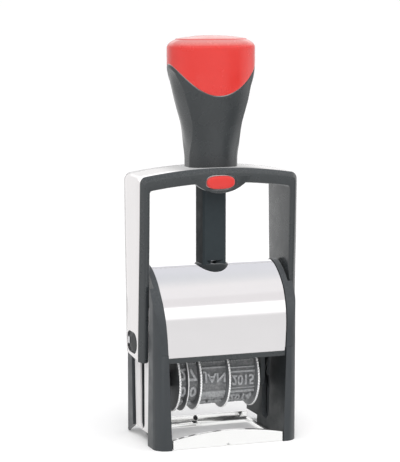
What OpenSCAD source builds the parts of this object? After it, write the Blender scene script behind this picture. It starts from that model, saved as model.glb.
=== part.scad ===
// Self-inking rotary date stamp: a flat-legged press bow with a handle slides down
// over a two-cheek base and flips the date carriage from the ink pad to the paper.
// It stands at rest on the desk at z = 0, centred on x = 0 and y = 0. X runs across the
// width, the front faces -Y and Z is up.

/* [Base] */
// Half width of the base over its two side frames
base_half_w = 31.6; // [31.5:0.05:31.8]
// Half depth of the side frames, front to back
base_half_d = 21.8; // [21.4:0.1:23]
// Height of the cover ridge above the desk
ridge_z = 74.4; // [73:0.2:76]
// Half depth of the curved cover
cover_half_d = 20.4; // [20:0.1:21]
// Thickness of the sheet covers
cover_t = 0.8; // [0.5:0.1:1]
// Height of the lower edge of the front cover
cover_low_z = 38.6; // [38:0.2:42]
// Corner radius of the side frames in plan
frame_corner_r = 5.5; // [2:0.5:6]

/* [Press bow] */
// Outer half width of the bow
bow_half_w = 35; // [34.6:0.1:36]
// Thickness of the moulded bow leg
leg_t = 3.1; // [2.6:0.1:3.1]
// Thickness of the polished strip on the bow
strip_t = 1; // [0.6:0.1:1]
// Height of the bottom of the bow legs at rest
leg_low_z = 37.1; // [37:0.1:37.5]
// Height of the bow's crown at rest
crown_z = 115.6; // [115.6:0.1:117]
// Radius of the crown's shallow arc
crown_r = 200; // [180:5:240]

/* [Handle] */
// Half width of the handle at its cap
cap_half_w = 18.9; // [18.4:0.1:19.6]
// Half depth of the handle at its cap
cap_half_d = 11.6; // [11.2:0.1:12.4]
// Half width of the handle at its neck
neck_half_w = 11.1; // [10.8:0.1:12]
// Half depth of the handle at its neck
neck_half_d = 9.1; // [8.9:0.1:10]
// Overall height of the stamp
total_h = 170.1; // [169.5:0.1:172]

/* [Mechanism] */
// Distance the bow travels when pressed
press_travel = 32.2; // [31.6:0.1:32.2]
// Height of the carriage pivot at rest
pivot_z = 42.4; // [42.2:0.1:42.6]
// Radius of the carriage pivot pins
pivot_r = 2.5; // [2:0.1:2.6]
// Distance of the cam pins from the pivot
cam_arm = 6.5; // [5.5:0.1:6.5]
// Radius of the cam pins
cam_pin_r = 1.4; // [1:0.1:1.5]

/* [Date wheels] */
// Radius of the milled date wheel rims
rim_r = 14; // [13:0.1:14]
// Radius of the hub that carries each band
hub_r = 9.8; // [9:0.1:10]
// Thickness of a rubber band
band_t = 1; // [0.8:0.1:1.2]
// Number of teeth milled round each rim
rim_teeth = 72; // [48:4:90]
// Distance of the wheel axle below the pivot
axle_drop = 16.6; // [16:0.1:17]

/* [Hidden] */

dark = [0.24, 0.26, 0.27];
soft_black = [0.2, 0.21, 0.22];
red = [0.88, 0.2, 0.18];
pin_steel = [0.72, 0.72, 0.73];
wheel_white = [0.9, 0.9, 0.9];

// heights shared between the groups
axle_z = pivot_z - axle_drop;
print_z = 2 * pivot_z - press_travel; // printing face at rest: flipped and pressed, it is at z = 0
pad_z = print_z + 0.1;                // face of the felt
foot_z = 4.6;                         // top of the opening between the feet
deck_z = 60;
deck_top_z = 62;
column_floor_z = 64.5;                // floor of the column's bore
column_top_z = 122;
handle_bore_z = 158;                  // roof of the handle's bore
tongue_z = 107.4;                     // lock button's tongue, low on the button
column_w = 10.4;
column_d = 10;

// ---- helpers: x, y and z are [low, high] spans ----
function centred(half) = [-half, half];
function clamp01(t) = max(0, min(1, t));
function stations(z0, z1, steps) = [for (i = [0:steps]) z0 + (z1 - z0) * i / steps];
// closed symmetric outline from its right half, listed bottom to top
function mirrored(half) = concat([for (p = half) [-p[0], p[1]]],
  [for (i = [len(half) - 1:-1:0]) half[i]]);
// faces of a closed tube whose points are listed ring by ring
function tube_faces(rings, sides) = concat([[for (i = [0:sides - 1]) i]],
  [for (k = [0:rings - 2]) for (i = [0:sides - 1]) let(j = (i + 1) % sides)
    [k * sides + j, k * sides + i, (k + 1) * sides + i, (k + 1) * sides + j]],
  [[for (i = [0:sides - 1]) rings * sides - 1 - i]]);

module box(x, y, z)
  translate([x[0], y[0], z[0]]) cube([x[1] - x[0], y[1] - y[0], z[1] - z[0]]);
// prism along X from a Y-Z outline, and along Y from an X-Z outline
module along_x(x) translate([x[0], 0, 0]) rotate([90, 0, 90]) linear_extrude(x[1] - x[0]) children();
module along_y(y) translate([0, y[1], 0]) rotate([90, 0, 0]) linear_extrude(y[1] - y[0]) children();
module rod_x(r, x, z, facets = 48)
  translate([x[0], 0, z]) rotate([0, 90, 0]) cylinder(r = r, h = x[1] - x[0], $fn = facets);
module both_sides() {
  children();
  mirror([1, 0, 0]) children();
}
module front_and_back() {
  children();
  mirror([0, 1, 0]) children();
}
// X-Z bar with round ends, w long and h high
module racetrack(w, h, y, z) along_y(y) {
  for (s = [-1, 1]) translate([s * (w - h) / 2, z]) circle(r = h / 2, $fn = 48);
  translate([-(w - h) / 2, z - h / 2]) square([w - h, h]);
}
// rectangular passage round the column
module column_passage(gap, z)
  box(centred(column_w / 2 + gap), centred(column_d / 2 + gap), z);

// ---- cover profile ----
cover_bend_z = 45;  // the cover is upright below this height
cover_steps = 26;
// half depth at height z of the cover profile set out by off
function cover_y(z, off) =
  let(t = clamp01((z - cover_bend_z) / (ridge_z + off - cover_bend_z)))
  (cover_half_d + off) * pow(1 - pow(t, 2.2), 2 / 3);
// heights bunch up near the ridge, where the curve turns over
function cover_z(i, off) = cover_bend_z + (ridge_z + off - cover_bend_z) * sin(90 * i / cover_steps);
module cover_shape(off, front_z, rear_z) polygon(concat(
  [[-(cover_half_d + off), front_z]],
  [for (i = [0:cover_steps]) let(z = cover_z(i, off)) [-cover_y(z, off), z]],
  [for (i = [cover_steps - 1:-1:0]) let(z = cover_z(i, off)) [cover_y(z, off), z]],
  [[cover_half_d + off, rear_z]]));

// ---- side frames ----
frame_x = 20;        // inner limit of the frame's stock
clear_x = 40;        // cuts run out to here
channel_x = 29.8;    // floor of the guide channel
cam_relief_x = 27.7; // floor of the cam track
liner_t = 0.8;
flank_slope = 0.0452;
// inner face of the right frame: [x, z]
frame_inner = [[24.7, 0], [26.0, 38.6], [27.4, 65]];
frame_inner_top_x = frame_inner[2][0];

// half depths of the guide channel and of the bow leg grow with height
function channel_y(z) = 10.0 + flank_slope * z;
function leg_y(z) = min(12.6, 9.7 + flank_slope * (z - 34.5));

// the cam pin's place for a press of s, in the side frame's Y-Z plane
function cam_turn(s) = 180 * s / press_travel;
function cam_centre(s) =
  [cam_arm * sin(cam_turn(s)), pivot_z - s - cam_arm * cos(cam_turn(s))];
function cam_normal(s) =
  let(step = cam_centre(s + 0.05) - cam_centre(s - 0.05)) [-step[1], step[0]] / norm(step);
cam_half = cam_pin_r + 0.3;
cam_steps = 40;
module cam_shape() {
  polygon([for (side = [1, -1]) for (i = [0:cam_steps])
    let(s = press_travel * (side > 0 ? i : cam_steps - i) / cam_steps)
    cam_centre(s) + side * cam_half * cam_normal(s)]);
  for (s = [0, press_travel]) translate(cam_centre(s)) circle(r = cam_half, $fn = 32);
}

// upright slot, round at its lower end, that the pivot travels in
module slot_cut(x, half) along_x(x) {
  low_z = foot_z + 0.6;
  top_z = pivot_z + 4;
  translate([0, low_z + half]) circle(r = half, $fn = 48);
  translate([-half, low_z + half]) square([2 * half, top_z - low_z - half]);
}
module pivot_slot() slot_cut([frame_x, clear_x], pivot_r + 0.3);

module frame_plan() {
  straight_x = base_half_w - frame_corner_r;
  straight_y = base_half_d - frame_corner_r;
  translate([0, -base_half_d]) square([straight_x, 2 * base_half_d]);
  translate([0, -straight_y]) square([base_half_w, 2 * straight_y]);
  for (s = [-1, 1]) translate([straight_x, s * straight_y]) circle(r = frame_corner_r, $fn = 48);
}
module side_frame() difference() {
  intersection() {
    along_x([frame_x, base_half_w]) union() {
      cover_shape(0.5, 0, 0);
      polygon(mirrored([[base_half_d, 0], [cover_half_d + 1, 40]]));
    }
    along_y(centred(30)) polygon(concat(frame_inner,
      [[frame_inner_top_x, 80], [base_half_w, 80], [base_half_w, 0]]));
    translate([0, 0, -1]) linear_extrude(90) frame_plan();
  }
  // guide channel for the bow leg
  along_x([channel_x, clear_x]) polygon(mirrored([for (z = [-1, 80]) [channel_y(z), z]]));
  // slot for the pivot pin, its wider inner relief, and the cam track
  pivot_slot();
  slot_cut([frame_x, 27.0], 4.2);
  along_x([frame_x, cam_relief_x]) cam_shape();
  // the frame stands on a front foot and, at the rear, on the slanted end of a thin outer wall
  along_x([26, clear_x]) polygon(mirrored([[9.5, -1], [9.5, foot_z]]));
  along_x([frame_x, channel_x]) polygon([[9, -1], [9, foot_z], [30, foot_z], [30, -1]]);
  along_x([frame_x, clear_x])
    polygon([[9, -1], [9, foot_z], [10.4, foot_z], [19, 0.2], [19, -1]]);
  along_y([9, 30]) polygon([[30.7, -0.1], [32, -0.1], [32, 2.0]]);
}
module side_frame_right() color(dark) side_frame();
module side_frame_left() color(dark) mirror([1, 0, 0]) side_frame();

// thin plate on the floor of the guide channel
module side_liner() difference() {
  low_z = foot_z + 0.05;
  top_z = 58;
  edge_gap = 1.3;
  along_x([channel_x + 0.02, channel_x + liner_t]) polygon(mirrored(
    [[channel_y(foot_z) - edge_gap, low_z], [channel_y(top_z) - edge_gap, top_z]]));
  pivot_slot();
}
module side_liner_right() color([0.85, 0.85, 0.86]) side_liner();
module side_liner_left() color([0.85, 0.85, 0.86]) mirror([1, 0, 0]) side_liner();

// ---- housing and covers ----
// space between the sloping side frames, less a gap on each side
module between_frames(gap) along_y([-40, 60])
  polygon(mirrored([for (p = concat(frame_inner, [[frame_inner_top_x, 90]])) [p[0] - gap, p[1]]]));
// opening at the rear for the pad's grip
module pad_door(front_y) box(centred(23.3), [front_y, 30], [pad_z - 0.6, 59.5]);

shell_gap = 0.05;
shell_t = 1.7;
shell_front_z = 36.5;
shell_rear_z = 44.2;
rail_y = [-13, 13.8];
rail_top_z = deck_z + 0.01;
module housing_shell() along_x(centred(30)) difference() {
  cover_shape(-cover_t - shell_gap, shell_front_z, shell_rear_z);
  cover_shape(-cover_t - shell_gap - shell_t, 30, 30);
  translate([-30, 0]) square([60, shell_front_z]);
  square([30, shell_rear_z]);
}
module upper_housing() color(dark) intersection() {
  between_frames(0.05);
  difference() {
    union() {
      housing_shell();
      // lip that closes the front cover's lower edge
      box(centred(30), [-cover_half_d - 0.2, -cover_half_d + 1.9],
        [shell_front_z, cover_low_z - 0.05]);
      // deck between the cheeks
      box(centred(30), centred(14), [deck_z, deck_top_z]);
      // pad rails with their ledges, and a bar across the front
      both_sides() {
        box([22.9, 24.3], rail_y, [pad_z - 0.5, rail_top_z]);
        box([22.05, 22.95], rail_y, [pad_z - 0.5, pad_z + 0.4]);
      }
      box(centred(22.95), [rail_y[0], -12.3], [59.3, rail_top_z]);
    }
    // column hole through the ridge, screw hole, rear door of the pad
    translate([0, 0, 61]) cylinder(r = 7.6, h = 30, $fn = 64);
    translate([0, 0, 50]) cylinder(r = 1.6, h = 20, $fn = 32);
    pad_door(14.1);
  }
}

seam_y = -3;      // joint between the front and rear covers
seam_gap = 0.05;  // on each side of the joint
module cover_sheet() intersection() {
  between_frames(0.1);
  difference() {
    along_x(centred(30)) difference() {
      cover_shape(0, cover_low_z, 44.8);
      cover_shape(-cover_t, 20, 20);
    }
    translate([0, 0, 50]) cylinder(r = 7.25, h = 40, $fn = 64);
  }
}
module front_cover() color([0.86, 0.86, 0.87]) intersection() {
  cover_sheet();
  box(centred(40), [-40, seam_y - seam_gap], [30, 90]);
}
module rear_cover() color([0.86, 0.86, 0.87]) difference() {
  intersection() {
    cover_sheet();
    box(centred(40), [seam_y + seam_gap, 40], [30, 90]);
  }
  pad_door(5);
}

// open frame under the base: arched front bar, thin floor and a turned-up rear edge
floor_z = 0.3;
bar_h = 6.5;
bar_front_y = -21.8;
bar_arch_r = 115;
module front_bar() intersection() {
  along_y([bar_front_y, -19.8]) difference() {
    translate([-24.3, floor_z]) square([48.6, bar_h]);
    // shallow arch falls away to both sides
    difference() {
      translate([-40, -10]) square([80, 40]);
      translate([0, floor_z + bar_h - bar_arch_r]) circle(r = bar_arch_r, $fn = 240);
    }
  }
  between_frames(0.3);
}
module bottom_frame() color([0.92, 0.92, 0.92]) difference() {
  union() {
    front_bar();
    box(centred(24.4), centred(20.6), [floor_z, 1.5]);
    box(centred(24.4), [19.6, 20.6], [floor_z, 4]);
  }
  box(centred(22.7), [-19.6, 15], [-1, 3]);
  // centre sighting notches, front and rear
  translate([0, bar_front_y, floor_z]) rotate([0, 45, 0]) cube([1.8, 1.6, 1.8], center = true);
  translate([0, 15, 0]) cylinder(r = 1.1, h = 5, $fn = 32);
}

// ---- guide column ----
notch_h = 1.7;
// column section with chamfered corners, set out by gap
module column_bar(gap, z) intersection() {
  column_passage(gap, z);
  half = 6.6 + gap;
  translate([0, 0, z[0]]) rotate([0, 0, 45])
    translate([-half, -half, 0]) cube([2 * half, 2 * half, z[1] - z[0]]);
}
module guide_column() color(dark) difference() {
  foot_low_z = deck_top_z + 0.05;
  union() {
    column_bar(0, [foot_low_z, column_top_z]);
    box(centred(7), centred(7), [foot_low_z, 64]);
  }
  translate([0, 0, column_floor_z]) cylinder(r = 3.5, h = 80, $fn = 48);
  translate([0, 0, 60]) cylinder(r = 1.2, h = 5, $fn = 32);
  // latch notches: one for bow up, one for bow locked down
  for (z = [tongue_z, tongue_z - press_travel]) intersection() {
    box(centred(3.7), [-6, -3.3], [z - notch_h / 2, z + notch_h / 2]);
    translate([0, 0, z + 4.2]) rotate([90, 0, 0]) cylinder(r = 5, h = 10, $fn = 96);
  }
}

// collar round the column at the ridge: [radius, z]
collar_profile = [[0, 70.2], [7.2, 70.2], [7.2, 72.6], [6.9, 74.1], [6.3, 74.6], [0, 74.6]];
module column_collar() color(dark) difference() {
  rotate_extrude($fn = 96) polygon(collar_profile);
  column_bar(0.05, [60, 80]);
}

// ---- ink pad, drawn out to the rear ----
cassette_top_z = 59.2;
felt_half_w = 21.4;
felt_half_d = 11;
felt_top_z = 57.75;
groove_pitch = 1.3;
module pad_cassette() color(soft_black) {
  difference() {
    box(centred(22.5), [-11.9, 14], [pad_z + 0.5, cassette_top_z]);
    box(centred(felt_half_w + 0.1), centred(felt_half_d + 0.1), [50, felt_top_z + 0.05]);
  }
  // grooved grip that fills the door in the rear cover
  difference() {
    box(centred(22.8), [13.9, 19.6], [pad_z - 0.1, cassette_top_z]);
    for (i = [0:3]) let(z = pad_z + 0.9 + i * groove_pitch)
      box(centred(14), [19.0, 21], [z, z + 0.6]);
  }
}
module ink_pad() color([0.16, 0.12, 0.12])
  box(centred(felt_half_w), centred(felt_half_d), [pad_z, felt_top_z]);

// ---- press bow ----
leg_out = bow_half_w - strip_t; // outer face of the moulded leg
leg_in = leg_out - leg_t;       // inner face of the moulded leg
crown_c = crown_z - crown_r;    // centre height of the crown arc
crown_bar_t = 6.1;              // height of the crown bar
bow_corner_r = 3.5;
leg_flare_z = 98.7;             // the legs keep one depth above this height
leg_slant = 2.1;                // rise of the leg's end from front to back
leg_end_half_d = 9.8;
lock_z = 109.7;

// X-Z arch, open at the bottom: legs, round corners and a crown arc of radius arc_r.
// The crown's points stop short of the corners by end_gap.
module arch_outline(half_w, arc_r, corner_r, low, corner_steps, arc_steps, end_gap) {
  corner_x = half_w - corner_r;
  corner_z = crown_c + sqrt(pow(arc_r - corner_r, 2) - corner_x * corner_x);
  corner = [corner_x, corner_z];
  sweep = atan2(corner_z - crown_c, corner_x);
  polygon(concat([[-half_w, low]],
    [for (i = [0:corner_steps]) let(a = 180 - sweep * i / corner_steps)
      [-corner_x, corner_z] + corner_r * [cos(a), sin(a)]],
    [for (i = [-arc_steps:arc_steps]) let(x = i / arc_steps * (corner_x - end_gap))
      [x, crown_c + sqrt(arc_r * arc_r - x * x)]],
    [for (i = [0:corner_steps]) let(a = sweep * (1 - i / corner_steps))
      corner + corner_r * [cos(a), sin(a)]],
    [[half_w, low]]));
}
// bow outline set in from the outermost face
module bow_outline(inset, low) arch_outline(half_w = bow_half_w - inset,
  arc_r = crown_r - inset, corner_r = max(bow_corner_r - inset, 0.8), low = low,
  corner_steps = 8, arc_steps = 20, end_gap = 0.2);
module bow_inner(low) arch_outline(half_w = leg_in, arc_r = crown_r - crown_bar_t,
  corner_r = 1.2, low = low, corner_steps = 6, arc_steps = 16, end_gap = 0.1);
// side view of the bow, set in at front and back
module bow_depth(inset) along_x(centred(40)) polygon(mirrored(
  [for (z = [30, leg_flare_z, 130]) [leg_y(min(z, leg_flare_z)) - inset, z]]));
// open seat in each leg around the pivot
module pivot_seats(x) both_sides() along_x(x) {
  seat_y = 0.6;
  for (s = [-1, 1]) translate([seat_y + s * 2.5, pivot_z]) circle(r = 4.5, $fn = 48);
  translate([seat_y - 2.5, pivot_z - 4.5]) square([5, 9]);
}
// the legs end on a slant, lower at the front
function leg_end_z(y) = leg_low_z + leg_slant * (y - leg_end_half_d) / (2 * leg_end_half_d);
module leg_ends(rise) along_x(centred(40))
  polygon([[-15, 20], [15, 20], [15, leg_end_z(15) + rise], [-15, leg_end_z(-15) + rise]]);

// rounded lobe under the crown that carries the lock button
lobe_r = 16.8;
lobe_low_z = 105.2;
module lock_lobe() intersection() {
  translate([0, 0, lobe_low_z + lobe_r]) rotate([90, 0, 0])
    translate([0, 0, 9.2]) cylinder(r = lobe_r, h = 3.4, $fn = 128);
  box(centred(14), [-13, -9], [100, 112]);
}
module bow_frame() color(dark) difference() {
  union() {
    intersection() {
      along_y(centred(13)) difference() {
        bow_outline(strip_t, leg_low_z - 3);
        bow_inner(leg_low_z - 4);
      }
      bow_depth(0);
    }
    lock_lobe();
  }
  leg_ends(0);
  column_passage(0.15, [100, 130]);
  // pocket and tongue slot of the lock button
  racetrack(12.5, 6.1, [-20, -6.0], lock_z);
  box(centred(1.7), [-8, -4], [tongue_z - 0.65, tongue_z + 0.65]);
  // pivot seats and pin bores
  pivot_seats([33, 40]);
  rod_x(pivot_r + 0.03, centred(40), pivot_z, 64);
}

module bow_strip() color([0.88, 0.87, 0.87]) difference() {
  intersection() {
    along_y(centred(13)) difference() {
      bow_outline(0, leg_low_z - 3);
      bow_outline(strip_t, leg_low_z - 4);
    }
    bow_depth(2.2);
  }
  leg_ends(0.3);
  pivot_seats([30, 40]);
  box(centred(8), centred(7), [100, 130]);
}

module pivot_pins() color([0.75, 0.75, 0.76])
  both_sides() rod_x(pivot_r, [20.6, 32.9], pivot_z, 64);
module pivot_caps() color([0.16, 0.17, 0.18]) both_sides() difference() {
  rod_x(3.4, [33.02, 34.4], pivot_z, 64);
  rod_x(1.7, [34, 35], pivot_z);
}

module lock_button() color(red) {
  racetrack(12.1, 5.7, [-12.9, -9.2], lock_z);
  box(centred(1.5), [-9.7, -6.7], [tongue_z - 0.5, tongue_z + 0.5]);
}

// ---- handle ----
handle_low_z = 114.6;
rim_z = 165.4;      // the top rounds over above this height
top_half_w = 14.8;
top_half_d = 8.4;
oval_sides = 64;
oval_power = 0.87;  // below 1 squares the oval up
// smooth step used to blend the neck into the cap
function smooth(t) = let(u = clamp01(t)) u * u * (3 - 2 * u);
// half width and half depth of the handle's oval at height z
function top_blend(z) = pow((z - rim_z) / (total_h - rim_z), 1.4);
function handle_w(z) = z > rim_z
  ? cap_half_w - (cap_half_w - top_half_w) * top_blend(z)
  : neck_half_w + (cap_half_w - 0.5 - neck_half_w) * smooth((z - 118.5) / 26.5)
    + 0.5 * smooth((z - 148) / 12);
function handle_d(z) = z > rim_z
  ? cap_half_d - (cap_half_d - top_half_d) * top_blend(z)
  : neck_half_d + (cap_half_d - neck_half_d) * smooth((z - 118) / 38);
function oval(c) = sign(c) * pow(abs(c), oval_power);
// stack of ovals at heights zs, set in from the handle's surface
module loft(zs, inset) polyhedron(
  points = [for (z = zs) for (i = [0:oval_sides - 1]) let(a = 360 * i / oval_sides)
    [(handle_w(z) - inset) * oval(cos(a)), (handle_d(z) - inset) * oval(sin(a)), z]],
  faces = tube_faces(len(zs), oval_sides));
// the concave finger scoops trim the oval on both sides to this half width
function scoop_x(z) = neck_half_w - 0.35
  + (cap_half_w - neck_half_w - 0.65) * smooth((z - 120.5) / 37.5) + max(0, z - 155) * 0.5;
module scoop_prism(inset) along_y(centred(20)) polygon(mirrored(
  concat([for (z = stations(112, 164, 20)) [scoop_x(z) - inset, z]], [[24, 172]])));
module handle_solid() loft(concat(stations(handle_low_z, rim_z, 17),
  [for (i = [1:5]) rim_z + (total_h - rim_z) * i / 5]), 0);
// height of the seam between the handle and its cap, lowest at the middle
function seam_z(x) = 145.1 + 0.0365 * x * x;
module seam_above(gap) along_y(centred(20)) polygon(concat([[-24, 180]],
  [for (i = [-20:20]) let(x = i * 1.2) [x, seam_z(x) + gap]], [[24, 180]]));
module handle_body() color(dark) difference() {
  union() {
    difference() {
      intersection() {
        handle_solid();
        scoop_prism(0);
      }
      seam_above(0);
    }
    // core that fills the cap
    intersection() {
      loft(stations(141, 162.2, 8), 2.6);
      scoop_prism(1.2);
    }
  }
  // seat on the bow's crown
  translate([0, 20, crown_c]) rotate([90, 0, 0]) cylinder(r = crown_r + 0.04, h = 40, $fn = 720);
  column_passage(0.3, [100, handle_bore_z]);
}
module handle_cap() color(red) difference() {
  intersection() {
    handle_solid();
    seam_above(0.2);
  }
  loft(stations(139, 162.4, 8), 2.5);
}

// compression spring between the column's bore and the handle
coil_r = 2.75;
wire_r = 0.42;
spring_z0 = column_floor_z + 0.1 + wire_r;
spring_z1 = handle_bore_z - 0.1 - wire_r;
spring_turns = 24;
turn_steps = 16;
wire_sides = 6;
module return_spring() color([0.7, 0.71, 0.72]) {
  steps = spring_turns * turn_steps;
  polyhedron(
    points = [for (i = [0:steps]) for (j = [0:wire_sides - 1])
      let(a = 360 * i / turn_steps, b = 360 * j / wire_sides, r = coil_r + wire_r * cos(b))
      [r * cos(a), r * sin(a), spring_z0 + (spring_z1 - spring_z0) * i / steps + wire_r * sin(b)]],
    faces = tube_faces(steps + 1, wire_sides));
}

// ---- flipping carriage ----
cheek_x = [20.5, 22.5];
cheek_r = 6;
axle_r = 1.5;
axle_bore_r = axle_r + 0.05;
window_x = [-18.9, 17.2];  // opening in the text plate for the bands
window_half_d = 3.4;
bridge_x = [window_x[0] + 0.3, window_x[1] - 0.3];
bridge_low_z = 40.6;
nose_r = 3;                // outside of a band on the bridge's nose
nose_z = print_z - 0.2 - nose_r;

module carriage_cheek() difference() {
  along_x(cheek_x) union() {
    for (z = [pivot_z, axle_z]) translate([0, z]) circle(r = cheek_r, $fn = 64);
    translate([-cheek_r, axle_z]) square([2 * cheek_r, axle_drop]);
  }
  bore_x = [cheek_x[0] - 1, cheek_x[1] + 1];
  rod_x(pivot_r + 0.05, bore_x, pivot_z, 64);
  rod_x(axle_r + 0.03, bore_x, axle_z);
  rod_x(cam_pin_r + 0.02, bore_x, pivot_z - cam_arm);
}
module carriage_frame() color(soft_black) {
  both_sides() carriage_cheek();
  // beams under the text plate, front and rear, on four posts
  front_and_back() {
    box(centred(21.9), [5.2, 8.6], [print_z - 3.7, print_z - 1.95]);
    both_sides() box(cheek_x, [3.5, 6.5], [43.5, print_z - 3.3]);
  }
}
module date_window(top_z) box(window_x, centred(window_half_d), [print_z - 3, top_z]);
module text_plate() color([0.8, 0.8, 0.81]) difference() {
  box(centred(21.5), centred(9), [print_z - 1.9, print_z - 1.2]);
  date_window(print_z);
}
module text_die() color([0.35, 0.33, 0.32]) difference() {
  box(centred(21.3), centred(8.8), [print_z - 1.18, print_z]);
  // recessed ground leaves a border and two plain rules standing
  difference() {
    box(centred(20.5), centred(8.0), [print_z - 0.6, print_z + 1]);
    front_and_back() box(window_x, [5.4, 5.9], [print_z - 2, print_z + 2]);
  }
  date_window(print_z + 2);
}
module band_bridge() color(soft_black) {
  rod_x(nose_r - band_t - 0.1, bridge_x, nose_z);
  box(bridge_x, centred(1.2), [bridge_low_z, nose_z]);
  box(centred(20.48), centred(1.2), [bridge_low_z, 46.2]);
}
module wheel_axle() color(pin_steel) rod_x(axle_r, centred(22.9), axle_z);
module axle_spacers() color(soft_black)
  for (x = [[-20.45, -18.85], [17.15, 20.45]]) difference() {
    rod_x(3.5, x, axle_z);
    rod_x(axle_bore_r, centred(30), axle_z);
  }
module cam_pins() color(pin_steel)
  both_sides() rod_x(cam_pin_r, [20.6, 27.4], pivot_z - cam_arm);

// ---- bands and wheels ----
band_bore_r = hub_r + 0.06;
// a band runs round its hub and over the bridge's nose
module band_outline(hub_arc_r, nose_arc_r) {
  lean = asin((hub_arc_r - nose_arc_r) / (nose_z - axle_z));
  polygon(concat(
    [for (i = [0:72]) let(a = lean - (180 + 2 * lean) * i / 72)
      [hub_arc_r * cos(a), axle_z + hub_arc_r * sin(a)]],
    [for (i = [0:20]) let(a = 180 - lean - (180 - 2 * lean) * i / 20)
      [nose_arc_r * cos(a), nose_z + nose_arc_r * sin(a)]]));
}
module band(x) color([0.45, 0.45, 0.46]) along_x(x) difference() {
  band_outline(band_bore_r + band_t, nose_r);
  band_outline(band_bore_r, nose_r - band_t);
}
module day_tens_band() band([-17.9, -14.95]);
module day_units_band() band([-14.4, -9.6]);
module month_band() band([-8.6, 3.2]);
module year_band() band([4.2, 16.2]);

// disc cut from an outline, bored for the axle
module bored(x) along_x(x) difference() {
  children();
  translate([0, axle_z]) circle(r = axle_bore_r, $fn = 48);
}
rim_w = 0.8;
tooth_h = 0.5;
// saw-toothed rim whose left face is at x
module milled_rim(x) bored([x, x + rim_w]) polygon([for (i = [0:2 * rim_teeth - 1])
  let(a = 180 * i / rim_teeth, r = rim_r - (i % 2) * tooth_h) [r * cos(a), axle_z + r * sin(a)]]);
module plain_rim(x) bored(x) translate([0, axle_z]) circle(r = rim_r - 0.1, $fn = 128);
module hub(x) bored(x) translate([0, axle_z]) circle(r = hub_r, $fn = 128);
module day_tens_wheel() color(wheel_white) {
  milled_rim(-18.8);
  hub([-18.01, -14.95]);
}
module day_units_wheel() color(wheel_white) {
  plain_rim([-14.9, -14.5]);
  hub([-14.51, -9.49]);
  milled_rim(-9.5);
}
module month_wheel() color(wheel_white) {
  hub([-8.65, 3.31]);
  milled_rim(3.3);
}
module year_wheel() color(wheel_white) {
  hub([4.15, 16.31]);
  milled_rim(16.3);
}

side_frame_left();
side_frame_right();
side_liner_left();
side_liner_right();
upper_housing();
front_cover();
rear_cover();
bottom_frame();
guide_column();
column_collar();
pad_cassette();
ink_pad();
bow_frame();
bow_strip();
handle_body();
handle_cap();
pivot_pins();
pivot_caps();
return_spring();
lock_button();
carriage_frame();
text_plate();
text_die();
band_bridge();
wheel_axle();
axle_spacers();
cam_pins();
day_tens_band();
day_units_band();
month_band();
year_band();
day_tens_wheel();
day_units_wheel();
month_wheel();
year_wheel();
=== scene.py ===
# Self-inking date stamp: a base with side frames and a sheet cover, an ink pad, a carriage of
# date bands, and a press bow with a handle and a red cap.
# It stands on z = 0 with its front towards -Y and its handle up +Z, centred on x = y = 0.
# Shapes are written in millimetres and scaled by MM; material scales are in metres.
import bpy
import bmesh
import math
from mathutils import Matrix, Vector, noise


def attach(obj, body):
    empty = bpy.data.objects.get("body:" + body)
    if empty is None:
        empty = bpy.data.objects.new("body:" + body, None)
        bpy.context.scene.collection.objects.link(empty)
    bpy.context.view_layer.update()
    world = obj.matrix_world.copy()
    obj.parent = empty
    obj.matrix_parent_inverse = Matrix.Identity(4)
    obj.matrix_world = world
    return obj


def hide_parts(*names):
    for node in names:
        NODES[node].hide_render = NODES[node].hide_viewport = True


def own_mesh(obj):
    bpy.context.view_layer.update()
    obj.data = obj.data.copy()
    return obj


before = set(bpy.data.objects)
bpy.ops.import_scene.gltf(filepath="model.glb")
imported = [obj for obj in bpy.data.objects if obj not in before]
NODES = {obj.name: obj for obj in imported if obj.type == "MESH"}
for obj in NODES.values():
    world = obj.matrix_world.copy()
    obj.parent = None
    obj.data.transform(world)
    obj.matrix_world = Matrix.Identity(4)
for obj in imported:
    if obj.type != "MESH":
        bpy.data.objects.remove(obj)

MM = 0.001
PI = math.pi


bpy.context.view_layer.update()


# ------------------------------------------------------------------ shader helpers
def srgb(*channels):
    """Linear RGBA from 0-255 sRGB channels."""
    def linear(c):
        c /= 255.0
        return c / 12.92 if c <= 0.04045 else ((c + 0.055) / 1.055) ** 2.4
    return tuple(linear(c) for c in channels) + (1.0,)


def brighter(colour, gain):
    return tuple(min(1.0, c * gain) for c in colour[:3]) + (1.0,)


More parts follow.
